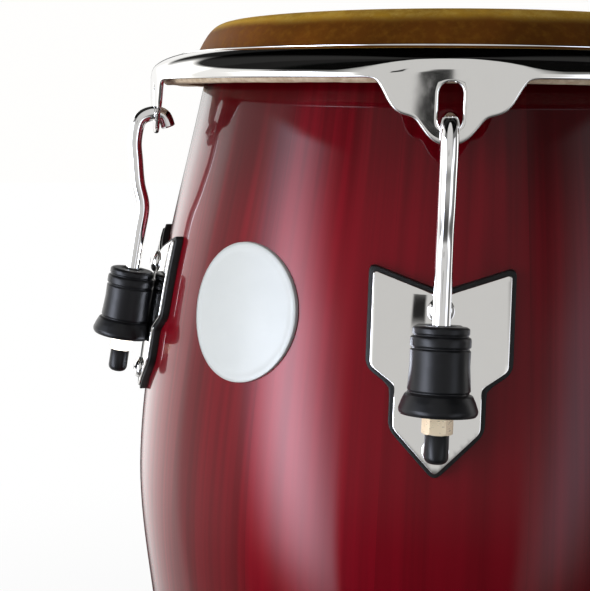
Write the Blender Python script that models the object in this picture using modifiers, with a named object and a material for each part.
"""Quinto conga: an 11 in rawhide head on a 30 in stave shell, drawn down by five hooked rods.

Metres, +Z up. The origin is on the drum's axis at the floor. Lug 1 faces -Y, and the others
follow it anticlockwise, seen from above. Turned pieces share one count of facets and one phase,
so that each lug stands at the middle of a facet and neighbouring surfaces keep an even gap.
"""

import math

import bmesh
import bpy
from mathutils import Matrix, Vector

# Whole drum
DRUM_HEIGHT = 0.762
LUG_COUNT = 5
CLEARANCE = 0.0003
FACETS_PER_LUG = 10

# Shell: radii at the foot and above it, then growth over the top's radius, with depths from the head
FOOT_RADIUS = 0.1125
LOW_RADIUS = 0.1235
LOW_HEIGHT = 0.110
CALF_RADIUS = 0.1430
CALF_HEIGHT = 0.250
TOP_RADIUS = 0.1308
NECK_GROWTH = 0.0089
NECK_DEPTH = 0.0425
LUG_GROWTH = 0.0315
LUG_DEPTH = 0.1455
BELLY_GROWTH = 0.0445
BELLY_DEPTH = 0.2535
WAIST_GROWTH = 0.0368
WAIST_DEPTH = 0.3415
SHELL_WALL = 0.0105
SHELL_RINGS = 13
BEARING_CREST = 0.0090
BEARING_ROUND_DEPTH = 0.0060
BEARING_STEPS = 3

# Head skin, wrapped round its hoop
SKIN_THICKNESS = 0.0020
HEAD_STAND = 0.0175
SHOULDER_START = 0.0085
SHOULDER_REACH = 0.0027
SHOULDER_FALL_OUT = 0.0052
SHOULDER_FALL = 0.0070
SHOULDER_STEPS = 5
COLLAR_OUT = 0.0132
COLLAR_TOP_DROP = 0.0065
COLLAR_BEND = 0.0030
SKIN_TAIL_HEIGHT = 0.0055

# Steel flesh hoop inside the wrap
HOOP_WIDTH = 0.0148
HOOP_HEIGHT = 0.0092
HOOP_DROP = 0.0155
HOOP_CORNER = 0.0025

# Pressed rim and its tabs
RIM_SHEET = 0.0025
RIM_WALL_DROP = 0.0130
RIM_SKIRT = 0.0022
RIM_LIP_RISE = 0.0012
RIM_EDGE_LEAN = 0.0015
RIM_EDGE_IN = 0.0023
RIM_BROW_REACH = 0.0141
RIM_BROW_FALL = 0.0020
RIM_CHEEK_IN = 0.0020
RIM_CHEEK_RISE = 0.0090
RIM_STEPS = 6
RIM_PLAY = 0.0020
RING_BULGE = 0.0025
PRESS_STEP = 0.0001
TAB_HALF_WIDTH = 0.0343
TAB_ROOT_DROP = 0.0030
TAB_SIDE_DROP = 0.0145
TAB_FLANK_HALF_WIDTH = 0.0265
TAB_FLANK_DROP = 0.0205
TAB_WING_HALF_WIDTH = 0.0285
TAB_WING_DROP = 0.0310
TAB_WAIST_HALF_WIDTH = 0.0160
TAB_WAIST_DROP = 0.0316
TAB_CALF_HALF_WIDTH = 0.0115
TAB_CALF_DROP = 0.0355
TAB_TOE_HALF_WIDTH = 0.0095
TAB_DROP = 0.0440
TAB_CURVE_STEPS = 4
SLOT_HALF_WIDTH = 0.0053
SLOT_TOP_DROP = 0.0166
SLOT_BOTTOM_DROP = 0.0374

# Tension rod: its radius, hook and crank
ROD_RADIUS = 0.00395
ROD_CURVE_STEPS = 2
HOOK_BACK = 0.0081
HOOK_DIP = 0.0074
HOOK_FRONT = 0.0107
HOOK_SHOULDER_FALL = 0.0038
HOOK_BEND_FALL = 0.0150
CRANK_TOP_DROP = 0.0590
CRANK_BOTTOM_DROP = 0.0850
CRANK_BULGE = 0.0007
SHANK_LEVEL_DROP = 0.1000
SHANK_OVER_CUP = 0.0030
LUG_TILT = math.radians(9.1)
ROD_STANDOFF = 0.0131
ROD_BELOW_CUP_TOP = 0.0555
ROD_HOLE_PLAY = 0.0003

# Cover, boss, washer, nut and cap, measured down the rod from the cover's top
CUP_TOP_DROP = 0.1206
CUP_LENGTH = 0.0385
CUP_TOP_WALL = 0.0040
CUP_RING_RADIUS = 0.0132
CUP_RING_LENGTH = 0.0100
CUP_EDGE = 0.0010
CUP_WAIST_RADIUS = 0.0130
CUP_SKIRT_RADIUS = 0.0140
CUP_SKIRT_START = 0.0285
CUP_SKIRT_BAND = 0.0030
CUP_SKIRT_FLARE = 0.0006
CUP_FLANGE_RADIUS = 0.0170
CUP_FLANGE_LENGTH = 0.0024
CUP_CAVITY_PLAY = 0.0006
BOSS_RADIUS = 0.0095
BOSS_LENGTH = 0.0297
WEB_WIDTH = 0.0080
WASHER_RADIUS = 0.0090
WASHER_THICKNESS = 0.0020
NUT_ACROSS_FLATS = 0.0118
NUT_LENGTH = 0.0104
CAP_RADIUS = 0.0053
CAP_LENGTH = 0.0127
CAP_END_WALL = 0.0020

# Side plate, its pad and its two bolts
PLATE_THICKNESS = 0.0024
GASKET_THICKNESS = 0.0024
GASKET_MARGIN = 0.0017
PLATE_NOTCH_DROP = 0.1105
WING_TOP_DROP = 0.1002
WING_HALF_WIDTH = 0.0308
WING_BOTTOM_DROP = 0.1426
BODY_HALF_WIDTH = 0.0195
BODY_TOP_DROP = 0.1504
BODY_BOTTOM_DROP = 0.1698
PLATE_TIP_DROP = 0.1898
PLATE_CORNER = 0.0022
LAYER_SPARE = 0.0120
BOLT_RADIUS = 0.0030
BOLT_HEAD_RADIUS = 0.0061
BOLT_HEAD_HEIGHT = 0.0034
BOLT_TOP_DROP = 0.1175
BOLT_BOTTOM_DROP = 0.1790
BOLT_END_PAST_NUT = 0.0015
SOCKET_ACROSS_FLATS = 0.0036
SOCKET_DEPTH = 0.0018

# Strip and nuts inside the shell
BACKING_THICKNESS = 0.0025
BACKING_HALF_WIDTH = 0.0130
BACKING_END = 0.0120
BACKING_CORNER = 0.0050
WELD_NUT_ACROSS_FLATS = 0.0100
WELD_NUT_HEIGHT = 0.0050

# Badge, half way between the first and the last lug
BADGE_RADIUS = 0.0340
BADGE_THICKNESS = 0.0016
BADGE_DROP = 0.1277

# Rubber ring under the foot
FOOT_PAD = 0.0040
FOOT_LIP_THICKNESS = 0.0032
FOOT_LIP_HEIGHT = 0.0160

# How far a cutter runs past what it cuts
CUT_PAST = 0.0100

# Heights worked out from the above
RIM_TOP = DRUM_HEIGHT - HEAD_STAND
SHELL_TOP = DRUM_HEIGHT - SKIN_THICKNESS - CLEARANCE
SHELL_FOOT = FOOT_PAD + CLEARANCE
LUG_STEP = 2.0 * math.pi / LUG_COUNT
TURN_STEPS = FACETS_PER_LUG * LUG_COUNT
HALF_FACET = math.pi / TURN_STEPS
APOTHEM = math.cos(HALF_FACET)

# Radii of the head's stack, from the shell outwards
COLLAR_RADIUS = TOP_RADIUS + COLLAR_OUT
HOOP_INNER = COLLAR_RADIUS + SKIN_THICKNESS / 2 + CLEARANCE
HOOP_OUTER = HOOP_INNER + HOOP_WIDTH
TAIL_RADIUS = HOOP_OUTER + CLEARANCE + SKIN_THICKNESS / 2
TAB_FACE = TAIL_RADIUS + SKIN_THICKNESS / 2 + RIM_PLAY + RIM_SHEET
RING_RADIUS = TAB_FACE + RING_BULGE

# Distances of the layers out from the shell's outer surface
GASKET_FOOT = CLEARANCE
PLATE_FOOT = GASKET_FOOT + GASKET_THICKNESS + CLEARANCE
PLATE_FACE = PLATE_FOOT + PLATE_THICKNESS
BACKING_FACE = -SHELL_WALL - CLEARANCE
BACKING_REAR = BACKING_FACE - BACKING_THICKNESS

FINISHES = {
    "lacquer": ((0.20, 0.012, 0.022), 0.0, 0.12),
    "rawhide": ((0.62, 0.42, 0.16), 0.0, 0.45),
    "chrome": ((0.80, 0.80, 0.80), 1.0, 0.06),
    "steel": ((0.52, 0.52, 0.53), 1.0, 0.35),
    "brass": ((0.78, 0.62, 0.42), 1.0, 0.22),
    "rubber": ((0.012, 0.012, 0.013), 0.0, 0.50),
    "silver": ((0.80, 0.80, 0.79), 1.0, 0.25),
}


def clear_scene():
    """Remove every object, so that the drum is alone."""
    for item in list(bpy.data.objects):
        bpy.data.objects.remove(item, do_unlink=True)


def new_collection(name):
    """A collection under the scene's own."""
    made = bpy.data.collections.new(name)
    bpy.context.scene.collection.children.link(made)
    return made


def finish(name):
    """A Principled material from the table of finishes."""
    if name in bpy.data.materials:
        return bpy.data.materials[name]
    colour, metallic, roughness = FINISHES[name]
    made = bpy.data.materials.new(name)
    made.use_nodes = True
    shader = made.node_tree.nodes["Principled BSDF"]
    shader.inputs["Base Color"].default_value = (*colour, 1.0)
    shader.inputs["Metallic"].default_value = metallic
    shader.inputs["Roughness"].default_value = roughness
    made.diffuse_color = (*colour, 1.0)
    return made


def own_finish(piece, name):
    """Give a piece its own copy of a finish."""
    material = finish(name).copy()
    material.name = piece.name + "_" + name
    piece.data.materials.clear()
    piece.data.materials.append(material)


def shell_stations():
    """Height and outer radius of the points that the shell's outline runs through."""
    return (
        (0.0, FOOT_RADIUS),
        (LOW_HEIGHT, LOW_RADIUS),
        (CALF_HEIGHT, CALF_RADIUS),
        (DRUM_HEIGHT - WAIST_DEPTH, TOP_RADIUS + WAIST_GROWTH),
        (DRUM_HEIGHT - BELLY_DEPTH, TOP_RADIUS + BELLY_GROWTH),
        (DRUM_HEIGHT - LUG_DEPTH, TOP_RADIUS + LUG_GROWTH),
        (DRUM_HEIGHT - NECK_DEPTH, TOP_RADIUS + NECK_GROWTH),
        (DRUM_HEIGHT, TOP_RADIUS),
    )


def smooth_value(stations, at):
    """A smooth curve through (position, value) stations, with the slope of its neighbours at each."""
    last = len(stations) - 1
    span = next((i for i in range(last) if at <= stations[i + 1][0]), last - 1)

    def slope(i):
        low, high = max(i - 1, 0), min(i + 1, last)
        return (stations[high][1] - stations[low][1]) / (stations[high][0] - stations[low][0])

    (x0, y0), (x1, y1) = stations[span], stations[span + 1]
    width = x1 - x0
    t = (at - x0) / width
    start = (1 + 2 * t) * (1 - t) ** 2 * y0 + t * (1 - t) ** 2 * width * slope(span)
    end = t * t * (3 - 2 * t) * y1 + t * t * (t - 1) * width * slope(span + 1)
    return start + end


def shell_radius(height):
    """Outer radius of the shell at a height."""
    return smooth_value(shell_stations(), height)


def shell_slope(height):
    """How fast the shell's radius grows with height."""
    step = 0.001
    return (shell_radius(height + step) - shell_radius(height - step)) / (2 * step)


def off_shell(height, distance):
    """The (radius, height) point at a distance square off the shell's outer surface."""
    slope = shell_slope(height)
    length = math.hypot(1.0, slope)
    return (shell_radius(height) + distance / length, height - distance * slope / length)


def ring_heights(top=None, bottom=None):
    """Heights of the shell's rings, going down: all of them, or those that take in a stretch."""
    first = SHELL_TOP - BEARING_ROUND_DEPTH
    drop = (first - SHELL_FOOT) / SHELL_RINGS
    start = 0 if top is None else max(math.floor((first - top) / drop), 0)
    end = SHELL_RINGS if bottom is None else min(math.ceil((first - bottom) / drop), SHELL_RINGS)
    return [first - drop * i for i in range(start, end + 1)]


def shell_run(heights, distance):
    """Points down the shell's outside, each at the same distance off it."""
    return [off_shell(height, distance) for height in heights]


def quarter(centre, radius, start, end, count):
    """Points on an arc in the (radius, height) plane; angles in degrees from outwards."""
    points = []
    for i in range(count + 1):
        angle = math.radians(start + (end - start) * i / count)
        points.append((centre[0] + radius * math.cos(angle), centre[1] + radius * math.sin(angle)))
    return points


def bezier(p0, p1, p2, p3, count):
    """Points along a cubic curve."""
    points = []
    for i in range(count + 1):
        t = i / count
        weights = ((1 - t) ** 3, 3 * t * (1 - t) ** 2, 3 * t * t * (1 - t), t ** 3)
        points.append(tuple(sum(w * p[k] for w, p in zip(weights, (p0, p1, p2, p3))) for k in (0, 1)))
    return points


def through(points, per_span):
    """A smooth curve through the given points, in as many steps between each two."""
    ends = [points[0], *points, points[-1]]
    made = []
    for i in range(len(points) - 1):
        a, b, c, d = ends[i:i + 4]
        for step in range(per_span):
            t = step / per_span
            made.append(tuple(
                0.5 * (2 * b[k] + (c[k] - a[k]) * t + (2 * a[k] - 5 * b[k] + 4 * c[k] - d[k]) * t * t
                       + (3 * b[k] - a[k] - 3 * c[k] + d[k]) * t ** 3)
                for k in range(len(b))))
    made.append(points[-1])
    return made


def beside(path, distance):
    """A path moved sideways, to the left of its direction."""
    moved = []
    for i, (x, z) in enumerate(path):
        (ax, az), (bx, bz) = path[max(i - 1, 0)], path[min(i + 1, len(path) - 1)]
        dx, dz = bx - ax, bz - az
        length = math.hypot(dx, dz)
        moved.append((x - dz / length * distance, z + dx / length * distance))
    return moved


def sheet(path, thickness):
    """The outline of a strip of sheet whose middle follows a path."""
    return beside(path, thickness / 2) + beside(path, -thickness / 2)[::-1]


def rounded(points, radius, steps=2):
    """A closed outline with each corner rounded by a short curve."""
    made = []
    count = len(points)
    for i, corner in enumerate(points):
        before, after = Vector(points[i - 1]), Vector(points[(i + 1) % count])
        corner = Vector(corner)
        reach = min(radius, (before - corner).length / 2.2, (after - corner).length / 2.2)
        start = corner + (before - corner).normalized() * reach
        end = corner + (after - corner).normalized() * reach
        for step in range(steps + 1):
            t = step / steps
            made.append(tuple((1 - t) ** 2 * start + 2 * t * (1 - t) * corner + t * t * end))
    return made


def signed_area(outline):
    """Positive where the outline runs anticlockwise."""
    pairs = zip(outline, outline[1:] + outline[:1])
    return sum(a[0] * b[1] - b[0] * a[1] for a, b in pairs) / 2


def turned(name, outline, collection, steps=TURN_STEPS, closed=True):
    """A solid of revolution. A closed outline makes a ring, an open one runs from axis to axis."""
    if signed_area(outline) > 0:
        outline = outline[::-1]
    mesh = bpy.data.meshes.new(name)
    half = math.pi / steps
    points = [(r * math.cos(half), r * math.sin(half), z) for r, z in outline]
    edges = [(i, i + 1) for i in range(len(points) - 1)]
    if closed:
        edges.append((len(points) - 1, 0))
    mesh.from_pydata(points, edges, [])
    piece = bpy.data.objects.new(name, mesh)
    collection.objects.link(piece)
    screw = piece.modifiers.new("Turn", "SCREW")
    screw.angle = 2.0 * math.pi
    screw.steps = steps
    screw.render_steps = steps
    screw.use_merge_vertices = True
    screw.merge_threshold = 0.00001
    screw.use_normal_calculate = False
    return piece


def flat_prism(name, outline, near, far, collection):
    """A flat outline in (x, z), standing between two distances out along -Y."""
    curve = bpy.data.curves.new(name, "CURVE")
    curve.dimensions = "2D"
    curve.fill_mode = "BOTH"
    curve.extrude = (far - near) / 2
    line = curve.splines.new("POLY")
    line.points.add(len(outline) - 1)
    for point, (x, z) in zip(line.points, outline):
        point.co = (x, z, 0.0, 1.0)
    line.use_cyclic_u = True
    guide = bpy.data.objects.new(name, curve)
    collection.objects.link(guide)
    guide.location = (0.0, -(near + far) / 2, 0.0)
    guide.rotation_euler = (math.pi / 2, 0.0, 0.0)
    return as_mesh(guide, name, collection)


def round_bar(name, radius, length, matrix, collection, sides=10):
    """A round or many-sided bar that starts at the matrix's origin and runs along its +Z."""
    mesh = bpy.data.meshes.new(name)
    shape = bmesh.new()
    bmesh.ops.create_cone(
        shape, cap_ends=True, segments=sides, radius1=radius, radius2=radius, depth=length,
        matrix=Matrix.Translation((0.0, 0.0, length / 2)) @ Matrix.Rotation(math.pi / sides, 4, "Z"))
    shape.to_mesh(mesh)
    shape.free()
    mesh.transform(matrix)
    piece = bpy.data.objects.new(name, mesh)
    collection.objects.link(piece)
    return piece


def block(name, low, high, matrix, collection):
    """A box between two corners, placed by a matrix."""
    mesh = bpy.data.meshes.new(name)
    shape = bmesh.new()
    size = [b - a for a, b in zip(low, high)]
    middle = [(a + b) / 2 for a, b in zip(low, high)]
    bmesh.ops.create_cube(
        shape, size=1.0, matrix=Matrix.Translation(middle) @ Matrix.Diagonal((*size, 1.0)))
    shape.to_mesh(mesh)
    shape.free()
    mesh.transform(matrix)
    piece = bpy.data.objects.new(name, mesh)
    collection.objects.link(piece)
    return piece


def as_mesh(source, name, collection, frame=None):
    """Replace an object by its evaluated mesh, in world space or in the given frame."""
    bpy.context.view_layer.update()
    graph = bpy.context.evaluated_depsgraph_get()
    mesh = bpy.data.meshes.new_from_object(source.evaluated_get(graph))
    mesh.transform(source.matrix_world)
    if frame is not None:
        mesh.transform(frame.inverted())
    weld = bmesh.new()
    weld.from_mesh(mesh)
    bmesh.ops.remove_doubles(weld, verts=weld.verts, dist=0.000002)
    weld.to_mesh(mesh)
    weld.free()
    bpy.data.objects.remove(source, do_unlink=True)
    mesh.name = name
    piece = bpy.data.objects.new(name, mesh)
    collection.objects.link(piece)
    if frame is not None:
        piece.matrix_world = frame
    return piece


def combine(piece, other, operation):
    """Add an exact Boolean modifier to a piece."""
    modifier = piece.modifiers.new(operation.title() + " " + other.name, "BOOLEAN")
    modifier.operation = operation
    modifier.solver = "EXACT"
    modifier.object = other


def shade(piece, angle=35.0):
    """Smooth shading with sharp edges kept."""
    piece.data.shade_smooth()
    piece.data.set_sharp_from_angle(angle=math.radians(angle))


def hide_cutters(cutters):
    """Show the cutters as wires and keep them out of a render."""
    for cutter in cutters.objects:
        cutter.hide_render = True
        cutter.display_type = "WIRE"


def depth(drop):
    """Height of a level that is given as a drop below the rim's inner top edge."""
    return RIM_TOP - drop


def rod_line(height):
    """Distance of the rod's straight line from the drum's axis, at a height."""
    cup_top = depth(CUP_TOP_DROP)
    start = off_shell(cup_top, PLATE_FACE)[0] * APOTHEM + ROD_STANDOFF / math.cos(LUG_TILT)
    return start + (cup_top - height) * math.tan(LUG_TILT)


def lug_turn(index):
    """Rotation of one lug about the drum's axis."""
    return Matrix.Rotation(LUG_STEP * index, 4, "Z")


def rod_frame():
    """Frame of the first lug's rod: origin at the cover's top, +Z up along the rod."""
    cup_top = depth(CUP_TOP_DROP)
    return Matrix.Translation((0.0, -rod_line(cup_top), cup_top)) @ Matrix.Rotation(-LUG_TILT, 4, "X")


def bolt_frame(drop, distance):
    """Frame square to the shell at the first lug, +Z outwards, at a distance off the shell."""
    radius, height = off_shell(depth(drop), distance)
    lean = math.atan(-shell_slope(depth(drop)))
    outward = Matrix.Rotation(math.pi / 2 - lean, 4, "X")
    return Matrix.Translation((0.0, -radius * APOTHEM, height)) @ outward


def bearing_edge():
    """The shell's rounded top edge, from its crest to where the wall begins, going down."""
    crest = TOP_RADIUS - BEARING_CREST
    wall_top = SHELL_TOP - BEARING_ROUND_DEPTH
    end = shell_radius(wall_top)
    points = []
    for i in range(BEARING_STEPS + 1):
        angle = math.pi / 2 * i / BEARING_STEPS
        points.append((crest + (end - crest) * math.sin(angle),
                       wall_top + BEARING_ROUND_DEPTH * math.cos(angle)))
    return points


def shell_outline():
    """Section of the shell's wall."""
    outer = bearing_edge() + shell_run(ring_heights(), 0.0)[1:]
    inner = shell_run(ring_heights(), -SHELL_WALL)[::-1]
    inner[0] = (inner[0][0], SHELL_FOOT)
    chamfer = (TOP_RADIUS - BEARING_CREST - CLEARANCE, SHELL_TOP - CLEARANCE)
    return outer + inner + [chamfer]


def skin_path():
    """Middle of the skin in section: flat head, shoulder, collar, under the hoop and up its outside."""
    half = SKIN_THICKNESS / 2
    flat = DRUM_HEIGHT - half
    bottom = depth(HOOP_DROP) - CLEARANCE - half
    shoulder = TOP_RADIUS - SHOULDER_START
    collar_top = RIM_TOP - COLLAR_TOP_DROP
    bend = COLLAR_BEND
    path = [(0.0, flat)]
    path += bezier(
        (shoulder, flat), (TOP_RADIUS + SHOULDER_REACH, flat),
        (TOP_RADIUS + SHOULDER_FALL_OUT, flat - SHOULDER_FALL), (COLLAR_RADIUS, collar_top),
        SHOULDER_STEPS)
    path += quarter((COLLAR_RADIUS + bend, bottom + bend), bend, 180, 270, 2)
    path += quarter((TAIL_RADIUS - bend, bottom + bend), bend, 270, 360, 2)
    path.append((TAIL_RADIUS, bottom + SKIN_TAIL_HEIGHT))
    return path


def skin_outline():
    """Section of the skin, open at the axis."""
    path = skin_path()
    outside = beside(path, SKIN_THICKNESS / 2)
    inside = beside(path, -SKIN_THICKNESS / 2)
    outside[0] = (0.0, DRUM_HEIGHT)
    inside[0] = (0.0, DRUM_HEIGHT - SKIN_THICKNESS)
    return outside + inside[::-1]


def rim_curve():
    """The rim's outer surface in section, from its inner edge to the foot of its wall."""
    edge = (COLLAR_RADIUS - RIM_EDGE_IN, RIM_TOP + RIM_LIP_RISE)
    wall = (RING_RADIUS, RIM_TOP - RIM_WALL_DROP)
    brow = (edge[0] + RIM_BROW_REACH, edge[1] - RIM_BROW_FALL)
    cheek = (wall[0] - RIM_CHEEK_IN, wall[1] + RIM_CHEEK_RISE)
    return bezier(edge, brow, cheek, wall, RIM_STEPS) + [(wall[0], wall[1] - RIM_SKIRT)]


def tab_outline():
    """Outline of a tab in (x, z), symmetric about the lug: broad root, drawn-in flank, waist and toe."""
    waist = (TAB_WAIST_HALF_WIDTH, depth(TAB_WAIST_DROP))
    flank = bezier(
        (TAB_HALF_WIDTH, depth(TAB_SIDE_DROP)), (TAB_FLANK_HALF_WIDTH, depth(TAB_FLANK_DROP)),
        (TAB_WING_HALF_WIDTH, depth(TAB_WING_DROP)), waist, TAB_CURVE_STEPS)
    toe = bezier(
        waist, (TAB_CALF_HALF_WIDTH, depth(TAB_CALF_DROP)), (TAB_TOE_HALF_WIDTH, depth(TAB_DROP)),
        (0.0, depth(TAB_DROP)), TAB_CURVE_STEPS)
    side = [(TAB_HALF_WIDTH, depth(TAB_ROOT_DROP))] + flank + toe[1:]
    return side + [(-x, z) for x, z in side[-2::-1]]


def slot_outline():
    """Outline of a tab's slot, a long hole with round ends."""
    r = SLOT_HALF_WIDTH
    high = quarter((0.0, depth(SLOT_TOP_DROP) - r), r, 0, 180, 6)
    low = quarter((0.0, depth(SLOT_BOTTOM_DROP) + r), r, 180, 360, 6)
    return high + low


def grown(points, margin):
    """A closed outline with every side moved out by a margin and its corners mitred."""
    turn = 1.0 if signed_area(points) > 0 else -1.0
    made = []
    for i, corner in enumerate(points):
        corner = Vector(corner)
        before = (corner - Vector(points[i - 1])).normalized()
        after = (Vector(points[(i + 1) % len(points)]) - corner).normalized()
        out_before = Vector((before.y, -before.x)) * turn
        out_after = Vector((after.y, -after.x)) * turn
        made.append(tuple(corner + (out_before + out_after) * margin / (1 + out_before @ out_after)))
    return made


def plate_outline(margin=0.0):
    """Outline of the side plate in (x, z), grown by a margin: notched wings over a pointed body."""
    right = [
        (0.0, depth(PLATE_NOTCH_DROP)),
        (WING_HALF_WIDTH, depth(WING_TOP_DROP)),
        (WING_HALF_WIDTH, depth(WING_BOTTOM_DROP)),
        (BODY_HALF_WIDTH, depth(BODY_TOP_DROP)),
        (BODY_HALF_WIDTH, depth(BODY_BOTTOM_DROP)),
        (0.0, depth(PLATE_TIP_DROP)),
    ]
    left = [(-x, z) for x, z in right[-2:0:-1]]
    return rounded(grown(right + left, margin), PLATE_CORNER + margin)


def layer(name, near, far, collection):
    """A turned layer that follows the shell beside the lugs, between two distances off it."""
    heights = ring_heights(
        depth(WING_TOP_DROP) + LAYER_SPARE, depth(PLATE_TIP_DROP) - LAYER_SPARE)
    outline = shell_run(heights, far) + shell_run(heights, near)[::-1]
    return turned(name, outline, collection)


def on_shell(name, outline, near, far, collection, cutters):
    """A curved plate: a flat outline cut from a layer that follows the shell."""
    reach = off_shell(depth(PLATE_TIP_DROP), far)[0]
    blank = flat_prism(
        name + "_blank", outline, TOP_RADIUS / 2, reach + CUT_PAST, collection)
    skin = layer(name + "_layer", near, far, cutters)
    combine(blank, skin, "INTERSECT")
    made = as_mesh(blank, name, collection)
    bpy.data.objects.remove(skin, do_unlink=True)
    return made


def bolt_holes(name, turns, radius, cutters):
    """Cutters for the two bolts of each given lug, as one object."""
    reach = 2 * (SHELL_WALL + BACKING_THICKNESS + WELD_NUT_HEIGHT + CUT_PAST)
    joined = bmesh.new()
    for turn in turns:
        for drop in (BOLT_TOP_DROP, BOLT_BOTTOM_DROP):
            frame = turn @ bolt_frame(drop, -reach / 2)
            bar = round_bar(name, radius, reach, frame, cutters)
            joined.from_mesh(bar.data)
            bpy.data.objects.remove(bar, do_unlink=True)
    mesh = bpy.data.meshes.new(name)
    joined.to_mesh(mesh)
    joined.free()
    cutter = bpy.data.objects.new(name, mesh)
    cutters.objects.link(cutter)
    return cutter


def make_shell(drum, cutters):
    """The stave barrel, drilled for the plates' bolts."""
    shell = turned("shell", shell_outline(), drum)
    turns = [lug_turn(i) for i in range(LUG_COUNT)]
    combine(shell, bolt_holes("shell_drill", turns, BOLT_RADIUS + CLEARANCE, cutters), "DIFFERENCE")
    own_finish(shell, "lacquer")


def make_foot_ring(drum):
    """The rubber channel that the shell stands in."""
    lip, wall = FOOT_LIP_HEIGHT, FOOT_LIP_THICKNESS
    inward = -SHELL_WALL - CLEARANCE
    low_out, high_out = off_shell(SHELL_FOOT, CLEARANCE)[0], off_shell(lip, CLEARANCE)[0]
    low_in, high_in = off_shell(SHELL_FOOT, inward)[0], off_shell(lip, inward)[0]
    outline = [
        (high_out, lip), (high_out + wall, lip), (low_out + wall, 0.0), (low_in - wall, 0.0),
        (high_in - wall, lip), (high_in, lip), (low_in, FOOT_PAD), (low_out, FOOT_PAD),
    ]
    ring = turned("foot_ring", outline, drum)
    own_finish(ring, "rubber")


def make_head(drum, cutters):
    """The skin, its flesh hoop and the rim with its tabs."""
    skin = turned("head_skin", skin_outline(), drum, closed=False)
    own_finish(skin, "rawhide")

    low, high = depth(HOOP_DROP), depth(HOOP_DROP) + HOOP_HEIGHT
    box = [(HOOP_INNER, high), (HOOP_OUTER, high), (HOOP_OUTER, low), (HOOP_INNER, low)]
    hoop = turned("flesh_hoop", rounded(box, HOOP_CORNER, 1), drum)
    own_finish(hoop, "steel")

    curve = rim_curve()
    lining = beside(curve, -RIM_SHEET)
    lining[0] = (curve[0][0] + RIM_EDGE_LEAN, lining[0][1])
    ring = turned("rim", curve + lining[::-1], drum)
    inset = beside(curve, -PRESS_STEP)
    below = depth(TAB_DROP) - CUT_PAST
    bound = [(0.0, inset[0][1])] + inset[:-1] + [(RING_RADIUS - PRESS_STEP, below), (0.0, below)]
    within = turned("tab_bound", bound, cutters, closed=False)
    slot = flat_prism(
        "tab_slot", slot_outline(), TAB_FACE - RIM_SHEET - CUT_PAST, TAB_FACE + CUT_PAST, cutters)
    beyond = block(
        "tab_flat", (-RING_RADIUS / 2, -RING_RADIUS - CUT_PAST, curve[-1][1] - CUT_PAST),
        (RING_RADIUS / 2, PRESS_STEP - TAB_FACE, RIM_TOP + CUT_PAST), Matrix(), cutters)
    tab = flat_prism("tab", tab_outline(), TAB_FACE - RIM_SHEET, TAB_FACE, cutters)
    combine(tab, within, "INTERSECT")
    tab = as_mesh(tab, "tab", cutters)
    for index in range(LUG_COUNT):
        for tool, operation in ((beyond, "DIFFERENCE"), (tab, "UNION"), (slot, "DIFFERENCE")):
            copy = bpy.data.objects.new(tool.name + "_" + str(index + 1), tool.data)
            cutters.objects.link(copy)
            copy.matrix_world = lug_turn(index) @ tool.matrix_world
            combine(ring, copy, operation)
    for tool in (beyond, tab, slot, within):
        bpy.data.objects.remove(tool, do_unlink=True)
    own_finish(ring, "chrome")


def rod_points():
    """The rod's middle line at the first lug, as (radius, height): hook, shoulder, crank and shank."""
    hook = depth(SLOT_BOTTOM_DROP) + ROD_RADIUS + CLEARANCE
    front = TAB_FACE + HOOK_FRONT
    knee = (front - HOOK_FRONT / 20, depth(CRANK_TOP_DROP))
    ankle = (rod_line(depth(CRANK_BOTTOM_DROP)), depth(CRANK_BOTTOM_DROP))
    shank_top = depth(CUP_TOP_DROP) + SHANK_OVER_CUP
    foot = depth(CUP_TOP_DROP) - ROD_BELOW_CUP_TOP * math.cos(LUG_TILT)
    bent = through([
        (TAB_FACE - HOOK_BACK, hook - HOOK_DIP),
        (TAB_FACE - HOOK_BACK * 2 / 3, hook - HOOK_DIP / 6),
        (TAB_FACE + HOOK_FRONT / 10, hook),
        (TAB_FACE + HOOK_FRONT * 3 / 4, hook - HOOK_SHOULDER_FALL),
        (front, hook - HOOK_BEND_FALL),
        knee,
        ((knee[0] + ankle[0]) / 2 + CRANK_BULGE, (knee[1] + ankle[1]) / 2),
        ankle,
        (rod_line(depth(SHANK_LEVEL_DROP)), depth(SHANK_LEVEL_DROP)),
        (rod_line(shank_top), shank_top),
    ], ROD_CURVE_STEPS)
    return bent + [(rod_line(foot), foot)]


def make_rod(frame, drum):
    """One tension rod, in its own frame."""
    curve = bpy.data.curves.new("hook_rod", "CURVE")
    curve.dimensions = "3D"
    curve.bevel_depth = ROD_RADIUS
    curve.bevel_resolution = 2
    curve.use_fill_caps = True
    line = curve.splines.new("POLY")
    points = [frame.inverted() @ Vector((0.0, -r, z)) for r, z in rod_points()]
    line.points.add(len(points) - 1)
    for point, place in zip(line.points, points):
        point.co = (*place, 1.0)
    rod = bpy.data.objects.new("hook_rod", curve)
    drum.objects.link(rod)
    return as_mesh(rod, "hook_rod", drum)


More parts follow.
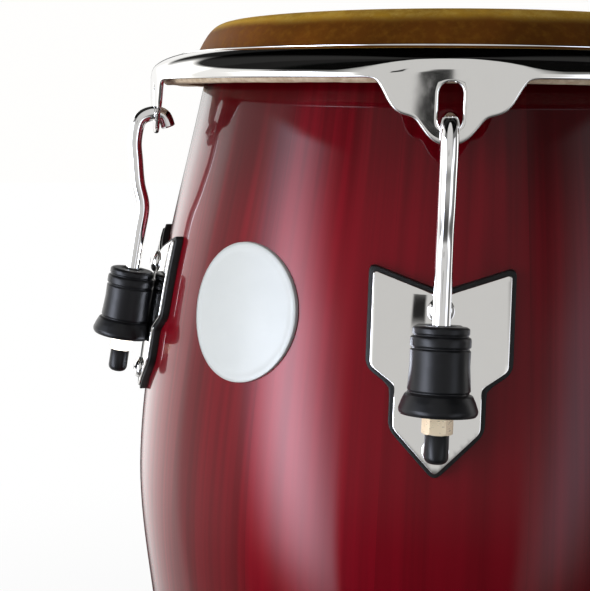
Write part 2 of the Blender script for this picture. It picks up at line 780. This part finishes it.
def make_plate(frame, drum, cutters):
    """The side plate with the bracket boss that the rod passes through, bored and drilled."""
    plate = on_shell("lug_plate", plate_outline(), PLATE_FOOT, PLATE_FACE, drum, cutters)
    start = CUP_TOP_WALL + CLEARANCE
    down = frame @ Matrix.Rotation(math.pi, 4, "X")
    boss = round_bar("boss", BOSS_RADIUS, BOSS_LENGTH, down @ Matrix.Translation((0, 0, start)), cutters)
    web = block(
        "boss_web", (-WEB_WIDTH / 2, -ROD_STANDOFF - PLATE_THICKNESS / 2, start),
        (WEB_WIDTH / 2, 0.0, start + BOSS_LENGTH), down, cutters)
    bore = round_bar(
        "boss_bore", ROD_RADIUS + ROD_HOLE_PLAY, CUP_LENGTH + CUT_PAST, down, cutters)
    combine(plate, boss, "UNION")
    combine(plate, web, "UNION")
    combine(plate, bore, "DIFFERENCE")
    drill = bolt_holes("plate_drill", [Matrix()], BOLT_RADIUS + CLEARANCE, cutters)
    combine(plate, drill, "DIFFERENCE")
    made = as_mesh(plate, "lug_plate", drum)
    gasket = on_shell(
        "plate_gasket", plate_outline(GASKET_MARGIN), GASKET_FOOT,
        GASKET_FOOT + GASKET_THICKNESS, drum, cutters)
    combine(gasket, drill, "DIFFERENCE")
    gasket = as_mesh(gasket, "plate_gasket", drum)
    for tool in (boss, web, bore, drill):
        bpy.data.objects.remove(tool, do_unlink=True)
    return made, gasket


def cup_outline():
    """Section of the cover, with height measured down from its top as negative."""
    hole = ROD_RADIUS + ROD_HOLE_PLAY
    cavity = BOSS_RADIUS + CUP_CAVITY_PLAY
    return [
        (hole, 0.0), (CUP_RING_RADIUS - CUP_EDGE, 0.0), (CUP_RING_RADIUS, -CUP_EDGE),
        (CUP_RING_RADIUS, -CUP_RING_LENGTH), (CUP_WAIST_RADIUS, -CUP_RING_LENGTH - CUP_EDGE),
        (CUP_SKIRT_RADIUS, -CUP_SKIRT_START),
        (CUP_SKIRT_RADIUS + CUP_SKIRT_FLARE, -CUP_SKIRT_START - CUP_SKIRT_BAND),
        (CUP_FLANGE_RADIUS, CUP_FLANGE_LENGTH - CUP_LENGTH), (CUP_FLANGE_RADIUS, -CUP_LENGTH),
        (cavity, -CUP_LENGTH), (cavity, -CUP_TOP_WALL), (hole, -CUP_TOP_WALL),
    ]


def make_cup(frame, drum, cutters):
    """The rubber cover over the boss, cut clear of the plate, the bracket's web and a bolt's head."""
    cup = turned("lug_cup", cup_outline(), drum, steps=16)
    cup.matrix_world = frame
    keep_out = layer("plate_space", -SHELL_WALL, PLATE_FACE + CLEARANCE, cutters)
    gap = WEB_WIDTH / 2 + CLEARANCE
    slot = block(
        "web_space", (-gap, 0.0, -CUP_LENGTH - CUT_PAST),
        (gap, CUP_FLANGE_RADIUS + CUT_PAST, -CUP_TOP_WALL), frame, cutters)
    head = round_bar(
        "head_space", BOLT_HEAD_RADIUS + CLEARANCE, BOLT_HEAD_HEIGHT + 2 * CLEARANCE,
        bolt_frame(BOLT_TOP_DROP, PLATE_FACE), cutters)
    for tool in (keep_out, slot, head):
        combine(cup, tool, "DIFFERENCE")
    made = as_mesh(cup, "lug_cup", drum, frame)
    for tool in (keep_out, slot, head):
        bpy.data.objects.remove(tool, do_unlink=True)
    return made


def make_stack(drum):
    """Washer, nut and cap in the rod's own frame, each a clearance below the one before."""
    bore = ROD_RADIUS + ROD_HOLE_PLAY
    washer_top = CUP_TOP_WALL + CLEARANCE + BOSS_LENGTH + CLEARANCE
    nut_top = washer_top + WASHER_THICKNESS + CLEARANCE
    cap_top = nut_top + NUT_LENGTH + CLEARANCE

    washer_bottom = washer_top + WASHER_THICKNESS
    washer = turned("lug_washer", [
        (bore, -washer_top), (WASHER_RADIUS, -washer_top), (WASHER_RADIUS, -washer_bottom),
        (bore, -washer_bottom)], drum, steps=16)

    corner = NUT_ACROSS_FLATS / 2 / math.cos(math.pi / 6)
    nut = round_bar(
        "tuning_nut", corner, NUT_LENGTH, Matrix.Translation((0, 0, -nut_top - NUT_LENGTH)), drum, 6)
    tool = round_bar(
        "nut_bore", bore, NUT_LENGTH + 2 * CUT_PAST,
        Matrix.Translation((0, 0, -nut_top - NUT_LENGTH - CUT_PAST)), drum, 12)
    combine(nut, tool, "DIFFERENCE")
    nut = as_mesh(nut, "tuning_nut", drum)
    bpy.data.objects.remove(tool, do_unlink=True)

    floor = cap_top + CAP_LENGTH - CAP_END_WALL
    dome = quarter((0.0, -cap_top - CAP_LENGTH + CAP_RADIUS), CAP_RADIUS, 0, -90, 3)
    dome[-1] = (0.0, -cap_top - CAP_LENGTH)
    inside = [(0.0, -floor), (bore / 2, -floor), (bore, -floor + CAP_END_WALL), (bore, -cap_top)]
    cap = turned(
        "rod_cap", inside + [(CAP_RADIUS, -cap_top)] + dome, drum, steps=10, closed=False)
    return [as_mesh(washer, "lug_washer", drum), nut, as_mesh(cap, "rod_cap", drum)]


def make_bolt(drop, name, drum, cutters):
    """A button-head bolt through plate, pad, wall, strip and nut, in its own frame."""
    head = BOLT_HEAD_HEIGHT
    reach = PLATE_FACE + CLEARANCE - BACKING_REAR + WELD_NUT_HEIGHT + BOLT_END_PAST_NUT
    quarters = [math.pi / 6 * i for i in range(3)]
    dome = [(BOLT_HEAD_RADIUS * math.cos(a), head * math.sin(a)) for a in quarters]
    outline = [(0.0, head)] + dome[::-1] + [(BOLT_RADIUS, 0.0), (BOLT_RADIUS, -reach), (0.0, -reach)]
    bolt = turned(name, outline, drum, steps=10, closed=False)
    socket = round_bar(
        "socket", SOCKET_ACROSS_FLATS / 2 / math.cos(math.pi / 6), SOCKET_DEPTH + CUT_PAST,
        Matrix.Translation((0, 0, head - SOCKET_DEPTH)), cutters, 6)
    combine(bolt, socket, "DIFFERENCE")
    bolt = as_mesh(bolt, name, drum)
    bpy.data.objects.remove(socket, do_unlink=True)
    bolt.matrix_world = bolt_frame(drop, PLATE_FACE + CLEARANCE)
    return bolt


def make_backing(drum, cutters):
    """The strip inside the shell with its two welded nuts."""
    high, low = depth(BOLT_TOP_DROP) + BACKING_END, depth(BOLT_BOTTOM_DROP) - BACKING_END
    w = BACKING_HALF_WIDTH
    outline = rounded([(-w, high), (w, high), (w, low), (-w, low)], BACKING_CORNER)
    strip = on_shell("backing_plate", outline, BACKING_REAR, BACKING_FACE, drum, cutters)
    corner = WELD_NUT_ACROSS_FLATS / 2 / math.cos(math.pi / 6)
    sink = BACKING_THICKNESS / 2
    tools = []
    for drop in (BOLT_TOP_DROP, BOLT_BOTTOM_DROP):
        frame = bolt_frame(drop, BACKING_REAR - WELD_NUT_HEIGHT)
        nut = round_bar("weld_nut", corner, WELD_NUT_HEIGHT + sink, frame, cutters, 6)
        combine(strip, nut, "UNION")
        tools.append(nut)
    drill = bolt_holes("strip_drill", [Matrix()], BOLT_RADIUS + CLEARANCE, cutters)
    combine(strip, drill, "DIFFERENCE")
    made = as_mesh(strip, "backing_plate", drum)
    for tool in tools + [drill]:
        bpy.data.objects.remove(tool, do_unlink=True)
    return made


def place_lugs(fixed, sliding, drum):
    """Five of each lug piece, under an empty at each lug and one on each rod's line."""
    frame = rod_frame()
    for index in range(LUG_COUNT):
        number = str(index + 1)
        seat = bpy.data.objects.new("lug_seat_" + number, None)
        seat.rotation_euler = (0.0, 0.0, LUG_STEP * index)
        drum.objects.link(seat)
        line = bpy.data.objects.new("rod_line_" + number, None)
        line.matrix_basis = frame
        line.parent = seat
        drum.objects.link(line)
        for pieces, parent in ((fixed, seat), (sliding, line)):
            for pattern, look in pieces:
                copy = bpy.data.objects.new(pattern.name + "_" + number, pattern.data.copy())
                copy.parent = parent
                if parent is seat:
                    copy.matrix_basis = pattern.matrix_basis
                drum.objects.link(copy)
                shade(copy)
                own_finish(copy, look)
    for pattern, _look in fixed + sliding:
        bpy.data.objects.remove(pattern, do_unlink=True)


def make_badge(drum, cutters):
    """The round badge, half way between two lugs."""
    centre = depth(BADGE_DROP)
    outline = quarter((0.0, centre), BADGE_RADIUS, 0, 360, 36)[:-1]
    badge = on_shell("badge", outline, CLEARANCE, CLEARANCE + BADGE_THICKNESS, drum, cutters)
    badge.rotation_euler = (0.0, 0.0, -LUG_STEP / 2)
    own_finish(badge, "silver")


def build():
    """Make the whole drum."""
    clear_scene()
    drum = new_collection("quinto_conga")
    cutters = new_collection("cutters")
    make_shell(drum, cutters)
    make_foot_ring(drum)
    make_head(drum, cutters)
    make_badge(drum, cutters)
    frame = rod_frame()
    plate, gasket = make_plate(frame, drum, cutters)
    fixed = [
        (plate, "chrome"), (gasket, "rubber"), (make_backing(drum, cutters), "steel"),
        (make_bolt(BOLT_TOP_DROP, "bolt_top", drum, cutters), "chrome"),
        (make_bolt(BOLT_BOTTOM_DROP, "bolt_bottom", drum, cutters), "chrome"),
    ]
    washer, nut, cap = make_stack(drum)
    sliding = [
        (make_rod(frame, drum), "chrome"), (make_cup(frame, drum, cutters), "rubber"),
        (washer, "steel"), (nut, "brass"), (cap, "rubber"),
    ]
    place_lugs(fixed, sliding, drum)
    hide_cutters(cutters)


build()
